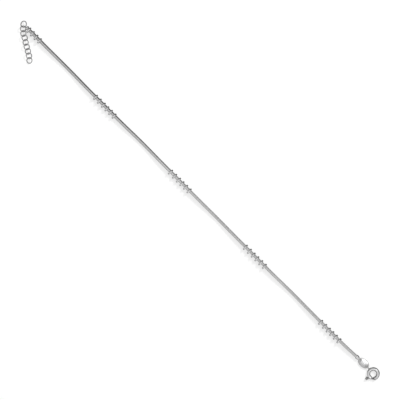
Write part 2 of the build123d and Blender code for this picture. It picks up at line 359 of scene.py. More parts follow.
def math_node(tree, operation, first, second=None, third=None, clamp=False):
    """A Math node fed by sockets or plain numbers."""
    node = new_node(tree, "Math")
    node.operation = operation
    node.use_clamp = clamp
    for i, value in enumerate((first, second, third)):
        if isinstance(value, bpy.types.NodeSocket):
            tree.links.new(value, node.inputs[i])
        elif value is not None:
            node.inputs[i].default_value = value
    return node.outputs[0]


def noise(tree, scale, detail, stretch=None):
    """Noise on object coordinates, stretched along the axes where asked."""
    node = new_node(tree, "TexNoise")
    node.inputs["Scale"].default_value = scale
    node.inputs["Detail"].default_value = detail
    vector = new_node(tree, "TexCoord").outputs["Object"]
    if stretch:
        mapping = new_node(tree, "Mapping")
        mapping.inputs["Scale"].default_value = stretch
        tree.links.new(vector, mapping.inputs["Vector"])
        vector = mapping.outputs["Vector"]
    tree.links.new(vector, node.inputs["Vector"])
    return node.outputs["Fac"]


def polish_group(grain):
    """Polishing traces: fine crossed scratches as a height, and a slow haze where fingers dull the polish."""
    group, ends_in, ends_out = new_group(
        "PolishTraces",
        ("Depth", "INPUT", "Float"),
        ("Height", "OUTPUT", "Float"),
        ("Haze", "OUTPUT", "Float"),
    )
    fine = 1 / grain
    along = noise(group, fine, 2.0, stretch=(0.08, 1.0, 1.0))
    across = noise(group, fine, 2.0, stretch=(1.0, 0.10, 0.6))
    scratches = math_node(group, "MAXIMUM", along, across)
    height = math_node(group, "MULTIPLY", scratches, ends_in.outputs["Depth"])
    group.links.new(height, ends_out.inputs["Height"])
    slow = noise(group, 420.0, 3.0)
    group.links.new(math_node(group, "POWER", slow, 2.0), ends_out.inputs["Haze"])
    return group


def tarnish_and_shade_group():
    """Tarnishing and painted shade: a mask that fills the recesses and the places darkened as painted shade,
    in patches of 2.4 x noise - 0.3, and the silver's colour under it."""
    group, ends_in, ends_out = new_group(
        "TarnishAndPaintedShade",
        ("TarnishAndShadeMask", "INPUT", "Float"),
        ("Amount", "INPUT", "Float"),
        ("Clean", "INPUT", "Color"),
        ("TarnishAndShadeColour", "INPUT", "Color"),
        ("Colour", "OUTPUT", "Color"),
        ("Mask", "OUTPUT", "Float"),
    )
    patches = math_node(group, "MULTIPLY_ADD", noise(group, 1100.0, 4.0), 2.4, -0.3)
    mask = math_node(group, "MULTIPLY", ends_in.outputs["TarnishAndShadeMask"], patches)
    mask = math_node(group, "MULTIPLY", mask, ends_in.outputs["Amount"], clamp=True)
    mix = new_node(group, "Mix")
    mix.data_type = "RGBA"
    group.links.new(mask, mix.inputs["Factor"])
    group.links.new(ends_in.outputs["Clean"], mix.inputs[6])
    group.links.new(ends_in.outputs["TarnishAndShadeColour"], mix.inputs[7])
    group.links.new(mix.outputs[2], ends_out.inputs["Colour"])
    group.links.new(mask, ends_out.inputs["Mask"])
    return group


def silver(name, roughness_gain=1.0, tarnish_and_shade=0.6, depth=0.5, painted_brightness=1.0, dark=1.0):
    """Polished plated silver: tarnished in the recesses, darkened as painted shade where a part's mask marks
    it, and with haze and fine scratches over the rest. painted_brightness scales the clean colour, giving
    lighter and darker copies of the silver as painted light and shade, and dark scales the tarnished colour
    down for deeper painted shade. Its roughness is polish x gain x (haze + 0.75), and a quarter more where
    the mask is full."""
    metal = bpy.context.scene.anklet_metal
    material = bpy.data.materials.new(name)
    material.use_nodes = True
    tree = material.node_tree
    shader = tree.nodes["Principled BSDF"]
    shader.inputs["Metallic"].default_value = 1.0
    tarnish_and_shade_mask = new_node(tree, "Attribute")
    tarnish_and_shade_mask.attribute_name = "tarnish_and_shade_mask"
    tarnish_and_shade_mix = new_node(tree, "Group")
    tarnish_and_shade_mix.node_tree = bpy.data.node_groups.get("TarnishAndPaintedShade") or tarnish_and_shade_group()
    tarnish_and_shade_mix.inputs["Amount"].default_value = tarnish_and_shade
    tarnish_and_shade_mix.inputs["Clean"].default_value = (*(painted_brightness * c for c in metal.silver), 1.0)
    tarnish_and_shade_mix.inputs["TarnishAndShadeColour"].default_value = (*(dark * c for c in metal.tarnish_and_shade), 1.0)
    tree.links.new(tarnish_and_shade_mask.outputs["Fac"], tarnish_and_shade_mix.inputs["TarnishAndShadeMask"])
    tree.links.new(tarnish_and_shade_mix.outputs["Colour"], shader.inputs["Base Color"])
    traces = new_node(tree, "Group")
    traces.node_tree = bpy.data.node_groups.get("PolishTraces") or polish_group(metal.grain)
    traces.inputs["Depth"].default_value = depth
    smooth = metal.polish * roughness_gain
    rough = math_node(tree, "MULTIPLY_ADD", traces.outputs["Haze"], smooth, smooth * 0.75)
    rough = math_node(tree, "ADD", rough, math_node(tree, "MULTIPLY", tarnish_and_shade_mix.outputs["Mask"], 0.25), clamp=True)
    tree.links.new(rough, shader.inputs["Roughness"])
    relief = new_node(tree, "Bump")
    relief.inputs["Strength"].default_value = SCRATCH_STRENGTH
    relief.inputs["Distance"].default_value = metal.grain
    tree.links.new(traces.outputs["Height"], relief.inputs["Height"])
    tree.links.new(relief.outputs["Normal"], shader.inputs["Normal"])
    return material


# The clasp's end of the chain, the plate's two holes and the two loops, where the solids have them
CHAIN_END = np.array([0.103463, 0.00465556, 0.00098])
TAG_HOLES = np.array([[0.105498, 0.00467556, 0.00070], [0.109613, 0.00489556, 0.00070]])
EXTENDER_LOOP = np.array([-0.114487, 0.00388556, 0.00124])
CLASP_LOOP = np.array([0.104948, 0.00467556, 0.00077])
# Sideways place of each stretch that lies on the surface, from the chain's first end
FLOOR_DRIFT = (0.00009, 0.00022, 0.00020, 0.00038)
# How far one flat side of the chain has turned from straight up towards +Y, at places along X
CHAIN_TWIST = ([-0.085, -0.036, 0.0], [0.78, 0.96, math.pi / 2])
# The studio's grey from -Y to +Y, as a place from 0 to 1 and a level
WORLD_GREYS = ((0.0, 0.64), (0.25, 0.76), (0.5, 0.56), (0.8, 0.49), (0.93, 0.17), (1.0, 0.04))
# Its brighter areas: direction, how sharply each falls off, and level
WORLD_AREAS = (
    ((0.0, 0.50, 0.866), 40.0, 0.9),
    ((0.15, -0.56, 0.81), 40.0, 0.3),
    ((0.64, 0.0, 0.77), 30.0, 0.4),
)
# The floor's white to the camera, matte and glowing, and its glow in the metal, part of the painted
# reflection there
FLOOR_MATTE, FLOOR_GLOW, MIRRORED_GLOW = 0.38, 0.63, 0.02
# The floor's grey in the metal, a painted reflection: change per metre of Y, level at Y = 0, least and most
MIRRORED_SLOPE, MIRRORED_MIDDLE, MIRRORED_LEAST, MIRRORED_MOST = -15.0, 0.30, 0.04, 0.42
# Degrees that the beads of each group lean on the chain
BEAD_LEAN = (4.0, 2.5, -3.0, 2.0, -2.5)
# Level chain beyond a group's last bead, and the share of a slope before the route's corner
BEAD_MARGIN, CORNER_SHARE = 0.00005, 0.45
# How fast the wave of the plates' edges turns round the chain, in radians a metre
WAVE_TURN = 38.0
# How far the darkening reaches from a seam, a cup's rim (tarnish, and painted shade over a cap's loop), the
# plate's holes and the clasp's mouth (painted shade) and the eye's root (tarnish)
SEAM_REACH, CUP_REACH, HOLE_SHADE_REACH, MOUTH_SHADE_REACH, EYE_REACH = 0.00042, 0.0007, 0.0008, 0.0009, 0.0005
# Half axes of the solder at a cap's loop and at the clasp's eye: outwards, across and up
CAP_SOLDER, EYE_SOLDER = (0.00020, 0.00027, 0.00030), (0.00022, 0.00032, 0.00052)
# Distance from the tube's middle line, as a share of its thickness, where the painted shade on its flanks
# begins and is full
SHADED_FLANK_FROM, SHADED_FLANK_FULL = 0.18, 0.34
# Rounding of the tube's cut edges
TUBE_LIP = 0.00003
# How strongly the polishing scratches tilt the light
SCRATCH_STRENGTH = 0.05
# Points round the loops' and links' wire, and along a link, a cap's loop and a cup
WIRE_SIDES, LINK_COLUMNS, LOOP_COLUMNS, CUP_COLUMNS = 20, 112, 72, 48


# ---- the chain ----


def bead_groups():
    """The names of the beads of each group, in order along the chain."""
    groups = {}
    for node in sorted(frame["nodes"]):
        if node.startswith("ring_bead_"):
            groups.setdefault(node.split("_")[2], []).append(node)
    return [groups[key] for key in sorted(groups)]


def chain_route(chain, bead):
    """The corners of the chain's route: level through each group, down a slope, and along the surface."""
    rest_z = chain.diameter / 2
    groups = [[middle(node) + (0, bead.hang, 0) for node in names] for names in bead_groups()]
    start_y = groups[0][0][1]
    reach = bead.crown + BEAD_MARGIN + CORNER_SHARE * chain.slope
    route = [(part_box("snake_chain")[0].x, start_y, groups[0][0][2])]
    for here, following, drift in zip(groups, groups[1:], FLOOR_DRIFT):
        leaves, arrives = here[-1][0] + reach, following[0][0] - reach
        route.append((leaves, here[-1][1], here[-1][2]))
        route.append((leaves + chain.slope, start_y + drift, rest_z))
        route.append((arrives - chain.slope, start_y + drift, rest_z))
        route.append((arrives, following[0][1], following[0][2]))
    last = groups[-1][-1]
    corner = (last[0] + bead.crown + BEAD_MARGIN + CORNER_SHARE * CHAIN_END[0]) / (1 + CORNER_SHARE)
    route.append((corner, last[1], last[2]))
    route.append(tuple(CHAIN_END))
    return np.array(route)


def smooth_line(route):
    """Points along the smooth line that the route's corners pull into shape, and how far along each lies."""
    curve = bpy.data.curves.new("route", "CURVE")
    curve.dimensions = "3D"
    curve.resolution_u = 48
    spline = curve.splines.new("NURBS")
    spline.points.add(len(route) - 1)
    spline.points.foreach_set("co", np.c_[route, np.ones(len(route))].ravel())
    spline.order_u = 3
    spline.use_endpoint_u = True
    holder = bpy.data.objects.new("route", curve)
    line = bpy.data.meshes.new_from_object(holder)
    points = vertex_points(line)
    bpy.data.objects.remove(holder)
    bpy.data.curves.remove(curve)
    bpy.data.meshes.remove(line)
    along = np.r_[0, np.cumsum(np.linalg.norm(np.diff(points, axis=0), axis=1))]
    return points, along


def squared_section(chain, angle, x):
    """The radius of the chain at an angle from -Y towards +Z. Its four sides are a little flat, and the chain
    has turned about itself as CHAIN_TWIST says: by 45 degrees near the extender, and by a quarter turn from
    the third group on, where the next side faces straight up."""
    faces = math.pi / 2 + np.interp(x, *CHAIN_TWIST)
    return chain.diameter / 2 * (1 - chain.flat * (0.5 + 0.5 * np.cos(4 * (angle - faces))))


def plated_chain(points, along, chain):
    """Curved plates set one behind the other round a line. At distance s along the line and angle a round it,
    the plate's own coordinate is u = s / pitch - wave / pitch x cos(2a + twist x s). The radius is that of
    the chain's squared section, less the groove's depth wherever u is whole, where one plate ends and the
    next begins."""
    total = along[-1]
    count = int(total / chain.pitch)
    in_plate = np.array([0.0, 0.2, 0.5, 0.8])
    u = (np.arange(count)[:, None] + in_plate).ravel()
    drop = np.tile([1.0, 0.3, 0.0, 0.3], count)
    u, drop = np.r_[u, count], np.r_[drop, 1.0]
    level = u * total / count
    angle = np.arange(chain.columns) * FULL_TURN / chain.columns
    calm = np.clip(np.minimum(level, total - level) / (3 * chain.pitch), 0, 1)
    twist = WAVE_TURN * level[:, None]
    s = np.clip(level[:, None] + chain.wave * calm[:, None] * np.cos(2 * angle + twist), 0, total)
    forward = unit(np.gradient(points, along, axis=0))
    centre, tangent = (
        np.stack([np.interp(s, along, column) for column in rows.T], axis=-1) for rows in (points, forward)
    )
    tangent = unit(tangent)
    side = unit(np.cross(tangent, UP))
    over = np.cross(side, tangent)
    radius = squared_section(chain, angle[None, :], centre[..., 0]) - chain.groove * drop[:, None]
    ring = np.cos(angle)[None, :, None] * side + np.sin(angle)[None, :, None] * over
    skin = centre + radius[..., None] * ring
    ends = [np.repeat(points[i][None, None], chain.columns, axis=1) for i in (0, -1)]
    skin = np.concatenate([ends[0], skin, ends[1]])
    return skin.reshape(-1, 3), grid_quads(len(skin), chain.columns)


class ANKLET_OT_chain(Operator):
    """Make the snake chain"""

    bl_idname = "anklet.add_chain"
    bl_label = "Snake chain"

    def execute(self, context):
        chain = context.scene.anklet_chain
        points, along = smooth_line(chain_route(chain, context.scene.anklet_beads))
        mesh = make_mesh("chain_plates", [plated_chain(points, along, chain)])
        skin = vertex_points(mesh)
        off_y = skin[:, 1] - np.interp(skin[:, 0], points[:, 0], points[:, 1])
        off_z = skin[:, 2] - np.interp(skin[:, 0], points[:, 0], points[:, 2])
        full = squared_section(chain, np.arctan2(off_z, -off_y), skin[:, 0])
        write_mask(mesh, "tarnish_and_shade_mask", (full - np.hypot(off_y, off_z)) / chain.groove)
        material = silver("snake_chain_silver", roughness_gain=1.0, tarnish_and_shade=0.75)
        add_piece("chain_plates", mesh, material, ["snake_chain"])
        return {"FINISHED"}


# ---- the beads ----


def bead_section(bead):
    """The bead's closed section as distance along the bore and radius: a half round whose two lips are
    rounded by arcs that touch both it and the bore's wall."""
    drop = bead.diameter / 2 - bead.crown
    lip_up = bead.bore / 2 + bead.lip
    lip_out = math.sqrt((bead.crown - bead.lip) ** 2 - (lip_up - drop) ** 2)
    meet = math.atan2(lip_up - drop, lip_out)
    crown = np.linspace(math.pi - meet, meet, 19)
    lip = np.linspace(meet, -math.pi / 2, 7)[1:]
    over = np.c_[bead.crown * np.cos(crown), drop + bead.crown * np.sin(crown)]
    right = np.c_[lip_out + bead.lip * np.cos(lip), lip_up + bead.lip * np.sin(lip)]
    left = (right * (-1, 1))[::-1]
    return np.concatenate([over, right, left])


class ANKLET_OT_beads(Operator):
    """Make the groups of ring beads"""

    bl_idname = "anklet.add_beads"
    bl_label = "Ring beads"

    def execute(self, context):
        bead = context.scene.anklet_beads
        section = bead_section(bead)
        material = silver("bead_silver", roughness_gain=0.8, tarnish_and_shade=0.8)
        for number, (names, lean) in enumerate(zip(bead_groups(), BEAD_LEAN), start=1):
            bore = bearing_of(lean)
            centres = np.array([middle(node) for node in names])
            shells = [turned(section, centre, bore, bead.columns) for centre in centres]
            mesh = make_mesh(f"bead_group_{number}", shells)
            points = vertex_points(mesh)
            own = centres[np.argmin(np.abs(points[:, None, 0] - centres[None, :, 0]), axis=1)]
            along = np.abs((points - own) @ bore)
            outwards = np.linalg.norm(points - own - ((points - own) @ bore)[:, None] * bore, axis=1)
            seat = np.clip(1 - (outwards - bead.bore / 2) / (2 * bead.lip), 0, 1)
            write_mask(mesh, "tarnish_and_shade_mask", seat * (0.4 + 0.6 * along / bead.crown))
            add_piece(f"bead_group_{number}", mesh, material, names)
        return {"FINISHED"}


# ---- the extender ----


def extender_rings():
    """Joint ring and links in order, with each one's middle and the chain's bearing there in degrees."""
    names = ["joint_ring"] + sorted(n for n in frame["nodes"] if n.startswith("extender_link_"))
    centres = np.array([middle(name) for name in names])
    steps = np.diff(centres[:, :2], axis=0)
    bearing = np.degrees(np.arctan2(steps[:, 1], steps[:, 0]))
    at_ring = np.r_[bearing[0], (bearing[:-1] + bearing[1:]) / 2, bearing[-1]]
    return names, centres, at_ring


def near(points, places, reach):
    """1 at the given places, falling off as exp(-(distance / reach)^2)."""
    gap = np.linalg.norm(points[:, None] - np.asarray(places)[None], axis=2).min(axis=1)
    return np.exp(-((gap / reach) ** 2))


class ANKLET_OT_extender(Operator):
    """Make the joint ring and the extender's round links"""

    bl_idname = "anklet.add_extender"
    bl_label = "Extender"

    def execute(self, context):
        link = context.scene.anklet_links
        names, centres, bearings = extender_rings()
        # A darker copy of the silver, at half its brightness: painted shade over the extender's links and
        # joint ring.
        material = silver("link_silver", tarnish_and_shade=0.8, painted_brightness=0.50)
        touching = (centres[1:] + centres[:-1]) / 2
        for i, (name, centre, bearing) in enumerate(zip(names, centres, bearings)):
            raised = bearing_of(bearing + (90 if i % 2 == 0 else -90))
            normal = UP * math.cos(link.tilt) - raised * math.sin(link.tilt)
            radius, wire = (link.joint_radius, link.joint_wire) if i == 0 else (link.radius, link.wire)
            seam = 0.9 + 2.3 * i
            shell = ring_tube(centre, normal, radius, wire, LINK_COLUMNS, WIRE_SIDES, link.solder, seam)
            mesh = make_mesh(name + "_wire", [shell])
            write_mask(mesh, "tarnish_and_shade_mask", 0.9 * near(vertex_points(mesh), touching, SEAM_REACH))
            add_piece(name + "_wire", mesh, material, [name])
        return {"FINISHED"}


# ---- the two ends of the chain ----


def rounded(corners, radii, steps=6):
    """A closed outline whose corners are rounded. Between the points where a corner's arc of radius r leaves
    its two sides, r x tan(turn / 2) from it, the arc is a rational curve with weight cos(turn / 2)."""
    corners = np.asarray(corners, float)
    back = unit(np.roll(corners, 1, axis=0) - corners)
    onward = unit(np.roll(corners, -1, axis=0) - corners)
    turn = math.pi - np.arccos(np.clip(np.sum(back * onward, axis=1), -1, 1))
    trim = (np.asarray(radii) * np.tan(turn / 2))[:, None]
    first, last = corners + trim * back, corners + trim * onward
    t = np.linspace(0, 1, steps)[None, :, None]
    weight = np.cos(turn / 2)[:, None, None]
    top = (1 - t) ** 2 * first[:, None] + 2 * t * (1 - t) * weight * corners[:, None] + t**2 * last[:, None]
    return (top / ((1 - t) ** 2 + 2 * t * (1 - t) * weight + t**2)).reshape(-1, 2)


def cap_section(cap, nose, tip):
    """The cup's section as distance outwards from the chain's end and radius, from the axis round to it."""
    inner, outer = cap.bore / 2, cap.outer / 2
    corners = [
        (0.00005, 0), (0.00005, inner), (-cap.depth, inner), (-cap.depth, outer), (cap.wall, outer),
        (nose, tip / 2), (nose, 0),
    ]
    soft = rounded(corners, [0, 0.00006, 0.00004, 0.00004, 0.0002, 0.00012, 0])
    return np.concatenate([soft[5:-6], soft[-1:]])


class ANKLET_OT_end_caps(Operator):
    """Make the end caps with their soldered loops"""

    bl_idname = "anklet.add_end_caps"
    bl_label = "End caps"

    def execute(self, context):
        cap = context.scene.anklet_caps
        route = chain_route(context.scene.anklet_chain, context.scene.anklet_beads)
        material = silver("end_cap_silver", tarnish_and_shade=0.8)
        ends = (
            ("extender_end_cap", route[0], route[1], cap.extender_nose, cap.extender_tip, EXTENDER_LOOP),
            ("clasp_end_cap", route[-1], route[-2], cap.clasp_nose, cap.clasp_tip, CLASP_LOOP),
        )
        for name, chain_end, before, nose, tip, loop_centre in ends:
            outwards = unit(chain_end - before)
            cup = turned(cap_section(cap, nose, tip), chain_end, outwards, CUP_COLUMNS, ring=False)
            across = np.cross(outwards, UP)
            loop = ring_tube(loop_centre, across, cap.loop, cap.wire, LOOP_COLUMNS, WIRE_SIDES)
            flat = unit(outwards * (1, 1, 0))
            joint = loop_centre - flat * cap.loop
            axes = np.array([outwards, unit(across), UP]) * np.array(CAP_SOLDER)[:, None]
            solder = egg(joint, axes)
            mesh = make_mesh(name + "_metal", [cup, loop, solder])
            rim = chain_end - outwards * cap.depth
            points = vertex_points(mesh)
            # Tarnish at the loop's solder and the cup's rim; the loop is darkened all round its middle as
            # painted shade.
            seams = np.maximum(near(points, [joint], SEAM_REACH), 0.6 * near(points, [rim], CUP_REACH))
            write_mask(mesh, "tarnish_and_shade_mask", np.maximum(seams, near(points, [loop_centre], CUP_REACH)))
            add_piece(name + "_metal", mesh, material, [name])
        return {"FINISHED"}


# ---- the quality tag ----


def tag_half(tag, hole_x, split_x, outline_count, rows):
    """Half of the oval round one hole, as a polar grid: point = hole + (1 - w) x hole radius x the unit
    vector to the boundary + w x the vector to it, with w from 0 to 1. The boundary is the split line and the
    rest of the oval."""
    half_l, half_w = tag.length / 2, tag.width / 2
    outer = 1 if hole_x > split_x else -1
    meet = math.acos(np.clip(split_x / half_l, -1, 1))
    top = half_w * math.sin(meet)
    line = np.c_[np.full(outline_count, split_x), np.linspace(-top, top, outline_count)]
    sweep = np.linspace(meet, -meet if outer > 0 else FULL_TURN - meet, 2 * outline_count)
    oval = np.c_[half_l * np.cos(sweep), half_w * np.sin(sweep)]
    boundary = np.concatenate([line, oval[1:-1]])
    hole = np.array([hole_x, 0.0])
    to_edge = boundary - hole
    w = np.linspace(0, 1, rows)[:, None, None]
    flat = hole + (1 - w) * tag.hole / 2 * unit(to_edge)[None] + w * to_edge[None]
    arch = (half_w**2 + tag.camber**2) / (2 * tag.camber)
    rise = np.sqrt(arch**2 - flat[..., 1] ** 2) - arch
    return np.concatenate([flat, rise[..., None]], axis=-1).reshape(-1, 3), grid_quads(rows, len(boundary))


class ANKLET_OT_tag(Operator):
    """Make the bare oval quality tag"""

    bl_idname = "anklet.add_tag"
    bl_label = "Quality tag"

    def execute(self, context):
        tag = context.scene.anklet_tag
        first = tag.margin - tag.length / 2
        second = first + tag.hole_span
        split = (first + second) / 2
        halves = [tag_half(tag, hole, split, outline_count=19, rows=17) for hole in (first, second)]
        along = unit(TAG_HOLES[1] - TAG_HOLES[0])
        level = np.cross(UP, along)
        across = level * math.cos(tag.roll) + UP * math.sin(tag.roll)
        raised = np.cross(along, across)
        centre = TAG_HOLES[0] - along * first
        placed = [(centre + points @ np.array([along, across, raised]), quads) for points, quads in halves]
        mesh = make_mesh("tag_plate", placed)
        if np.mean([face.normal.z for face in mesh.polygons]) < 0:
            mesh.flip_normals()
        points = vertex_points(mesh)
        plan = (points - centre) @ np.array([along, across]).T
        # Painted shade: the plate's rim is darkened, a little more on its -Y side, and the holes are darkened
        # as if in shadow.
        to_rim = 1 - np.hypot(plan[:, 0] / (tag.length / 2), plan[:, 1] / (tag.width / 2))
        rim = np.exp(-((to_rim / 0.10) ** 2)) * (0.95 - 0.1 * plan[:, 1] / (tag.width / 2))
        write_mask(mesh, "tarnish_and_shade_mask", np.maximum(rim, near(points, TAG_HOLES, HOLE_SHADE_REACH)))
        # The colour under this painted shade is half the tarnish colour.
        material = silver("tag_silver", roughness_gain=1.3, tarnish_and_shade=1.0, depth=0.6, painted_brightness=0.98, dark=0.5)
        plate = add_piece("tag_plate", mesh, material, ["quality_tag"])
        thicken(plate, tag.thickness, tag.rim, segments=4, sharp=50)
        return {"FINISHED"}


# ---- the spring ring ----


def ring_place():
    """The middle of the spring ring, which its trigger turns about."""
    return np.array(frame["record"]["behaviour"]["joints"][0]["pos_m"])


def slotted_tube(clasp, slot_height=0.00072):
    """The middle of the tube's wall, open at the mouth and at the slot. Point = middle + (ring radius + wall
    radius x cos b) x direction(a) + wall radius x sin b x up, for a round the ring and b round the tube."""
    wall = (clasp.tube + clasp.bore) / 4
    a = np.arange(clasp.mouth_to, clasp.mouth_from + 360 + 1, 2)
    lip = math.asin(slot_height / 2 / wall)
    b = np.r_[np.linspace(-lip, lip, 7), np.linspace(lip, FULL_TURN - lip, 27)[1:-1]]
    out = bearing_of(a)[:, None]
    reach = (clasp.radius + wall * np.cos(b))[None, :, None]
    points = ring_place() + reach * out + (wall * np.sin(b))[None, :, None] * UP
    quads = grid_quads(len(a), len(b)).reshape(len(a) - 1, len(b), 4)
    in_slot = (a[:-1] >= clasp.slot_from + 360) & (a[:-1] < clasp.slot_to + 360)
    keep = np.ones(quads.shape[:2], bool)
    keep[np.ix_(in_slot, np.arange(6))] = False
    return points.reshape(-1, 3), quads[keep]


def eye_loop(clasp, steps=17):
    """The eye: two half circles joined by straight runs, in the upright plane that holds the ring's middle.
    Gives its surface, the middle of its soldered side and the direction outwards."""
    t = np.radians(np.r_[np.linspace(-90, 90, steps), np.linspace(90, 270, steps)])
    run = clasp.eye_tip - clasp.eye_root - 2 * clasp.eye
    shift = np.r_[np.full(steps, run / 2), np.full(steps, -run / 2)]
    to_hole = TAG_HOLES[1] - ring_place()
    outward = unit(to_hole * (1, 1, 0))
    centre = ring_place() + outward * (clasp.eye_tip + clasp.eye_root) / 2
    across = np.cross(outward, UP)
    path = centre + (shift + clasp.eye * np.cos(t))[:, None] * outward + (clasp.eye * np.sin(t))[:, None] * UP
    side = np.cos(t)[:, None] * outward + np.sin(t)[:, None] * UP
    over = np.broadcast_to(across, side.shape)
    loop = tube(path, side, over, clasp.eye_wire / 2, WIRE_SIDES, closed=True)
    return loop, centre - outward * (run / 2 + clasp.eye), outward


def bolt_rod(clasp, tip=0.00015, steps=5):
    """The bolt: a round rod along the ring's circle, its ends rounded by arcs of radius tip."""
    arc = np.linspace(0, math.pi / 2, steps)
    run_in = np.degrees(tip * (1 - np.cos(arc)) / clasp.radius)
    thin = clasp.bolt / 2 - tip + tip * np.sin(arc)
    between = np.linspace(clasp.bolt_from + 6, clasp.bolt_to - 6, 36)
    degrees = np.r_[clasp.bolt_from + run_in, between, clasp.bolt_to - run_in[::-1]]
    radius = np.r_[thin, np.full(len(between), clasp.bolt / 2), thin[::-1]]
    out = bearing_of(degrees)
    path = ring_place() + clasp.radius * out
    return tube(path, out, np.broadcast_to(UP, out.shape), radius, 24, closed=False)


def trigger_tab(clasp, edge=0.0002):
    """The trigger's tab: its outline carried from one face round the rim to the other, and drawn towards its
    middle by edge x (1 - cos t) as t goes from -90 to 90 degrees. Both faces end in their middle."""
    root, tip = clasp.root_width / 2, clasp.tip_width / 2
    corners = [(clasp.tab_root, -root), (clasp.tab_tip, -tip), (clasp.tab_tip, tip), (clasp.tab_root, root)]
    outline = rounded(corners, [0.00012, tip / 1.5, tip / 1.5, 0.00012], steps=9)
    turn = np.linspace(-math.pi / 2, math.pi / 2, 11)
    half = clasp.tab_thickness / 2
    height = (half - edge) * np.sign(turn) + edge * np.sin(turn)
    height[5] = 0
    middle_point = (outline.min(axis=0) + outline.max(axis=0)) / 2
    drawn_in = 1 - edge * (1 - np.cos(turn)) / tip
    rim = middle_point + drawn_in[:, None, None] * (outline - middle_point)
    shrink = np.array([0.0, 0.8])[:, None, None]
    low = middle_point + shrink * (rim[0] - middle_point)
    high = middle_point + shrink[::-1] * (rim[-1] - middle_point)
    plan = np.concatenate([low, rim, high])
    z = np.r_[-half, -half, height, half, half]
    out = bearing_of(clasp.trigger_at)
    sideways = np.cross(UP, out)
    points = ring_place() + plan[..., :1] * out + plan[..., 1:] * sideways + z[:, None, None] * UP
    return points.reshape(-1, 3), grid_quads(len(plan), len(outline))


class ANKLET_OT_spring_ring(Operator):
    """Make the spring ring with its eye"""

    bl_idname = "anklet.add_spring_ring"
    bl_label = "Spring ring"

    def execute(self, context):
        clasp = context.scene.anklet_clasp
        # A brighter copy of the silver with a very dark tarnish colour, for a painted highlight along the
        # tube's top and painted shade on its flanks and at the mouth.
        material = silver("clasp_silver", tarnish_and_shade=1.0, painted_brightness=1.15, dark=0.2)
        mesh = make_mesh("spring_ring_tube", [slotted_tube(clasp)])
        points = vertex_points(mesh)
        flat = (points - ring_place()) * (1, 1, 0)
        core = ring_place() + clasp.radius * unit(flat)
        outwards = np.sum((points - core)[:, None] * unit(flat)[:, None], axis=(1, 2))
        if np.mean([face.normal.dot(face.center - Vector(ring_place())) for face in mesh.polygons]) < 0:
            mesh.flip_normals()
        # Painted shade: the tube's flanks, away from its middle line, are darkened, and the mouth's end is
        # darkened as a gap in shadow.
        shaded_flank = np.clip((np.abs(outwards) / clasp.tube - SHADED_FLANK_FROM) / (SHADED_FLANK_FULL - SHADED_FLANK_FROM), 0, 1)
        mouth = ring_place() + clasp.radius * bearing_of(clasp.mouth_to)
        write_mask(mesh, "tarnish_and_shade_mask", np.maximum(0.9 * shaded_flank, near(points, [mouth], MOUTH_SHADE_REACH)))
        ring = add_piece("spring_ring_tube", mesh, material, ["spring_ring"])
        thicken(ring, (clasp.tube - clasp.bore) / 2, TUBE_LIP, segments=2, sharp=40)
        loop, root, outward = eye_loop(clasp)
        across = np.cross(outward, UP)
        solder = egg(root, np.array([outward, across, UP]) * np.array(EYE_SOLDER)[:, None])
        eye = make_mesh("spring_ring_eye", [loop, solder])
        # The whole eye is darkened at 0.6 of the mask, and more at its soldered root.
        write_mask(eye, "tarnish_and_shade_mask", np.maximum(0.6, near(vertex_points(eye), [root], EYE_REACH)))
        add_piece("spring_ring_eye", eye, material, ["spring_ring"])
        return {"FINISHED"}


class ANKLET_OT_bolt(Operator):
    """Make the spring ring's bolt and its trigger"""

    bl_idname = "anklet.add_bolt"
    bl_label = "Bolt and trigger"

    def execute(self, context):
        clasp = context.scene.anklet_clasp
        out = bearing_of(clasp.trigger_at)
        reach = np.linspace(clasp.radius, clasp.tab_root + 0.0003, 8)
        stem = ring_place() + reach[:, None] * out
        side = np.broadcast_to(UP, stem.shape)
        over = np.broadcast_to(np.cross(out, UP), stem.shape)
        neck = tube(stem, side, over, clasp.stub / 2, WIRE_SIDES, closed=False)
        mesh = make_mesh("bolt_and_trigger", [bolt_rod(clasp), neck, trigger_tab(clasp)])
        # Darker at the tab's foot, and painted shade on the bolt by the clasp's mouth, as a gap in shadow.
        foot = ring_place() + out * clasp.tab_root
        mouth = ring_place() + clasp.radius * bearing_of(clasp.mouth_to - 4)
        write_mask(mesh, "tarnish_and_shade_mask", near(vertex_points(mesh), [foot, mouth], MOUTH_SHADE_REACH))
        # A darker copy of the silver: painted shade over the bolt and the trigger.
        material = silver("trigger_silver", roughness_gain=3.0, tarnish_and_shade=1.0, painted_brightness=0.62, dark=0.4)
        add_piece("bolt_and_trigger", mesh, material, ["clasp_bolt"], body=TRIGGER_BODY)
        return {"FINISHED"}


# ---- the stage ----


def area_lamp(name, place, aim, size, power, glossy):
    """A square soft lamp that points at aim, mirrored in the metal only where glossy says so."""
    lamp = bpy.data.lights.new(name, "AREA")
    lamp.shape = "RECTANGLE"
    lamp.size, lamp.size_y = size
    lamp.energy = power
    holder = bpy.data.objects.new(name, lamp)
    holder.location = place
    holder.rotation_euler = (Vector(aim) - Vector(place)).to_track_quat("-Z", "Y").to_euler()
    holder.visible_glossy = glossy
    bpy.context.scene.collection.objects.link(holder)


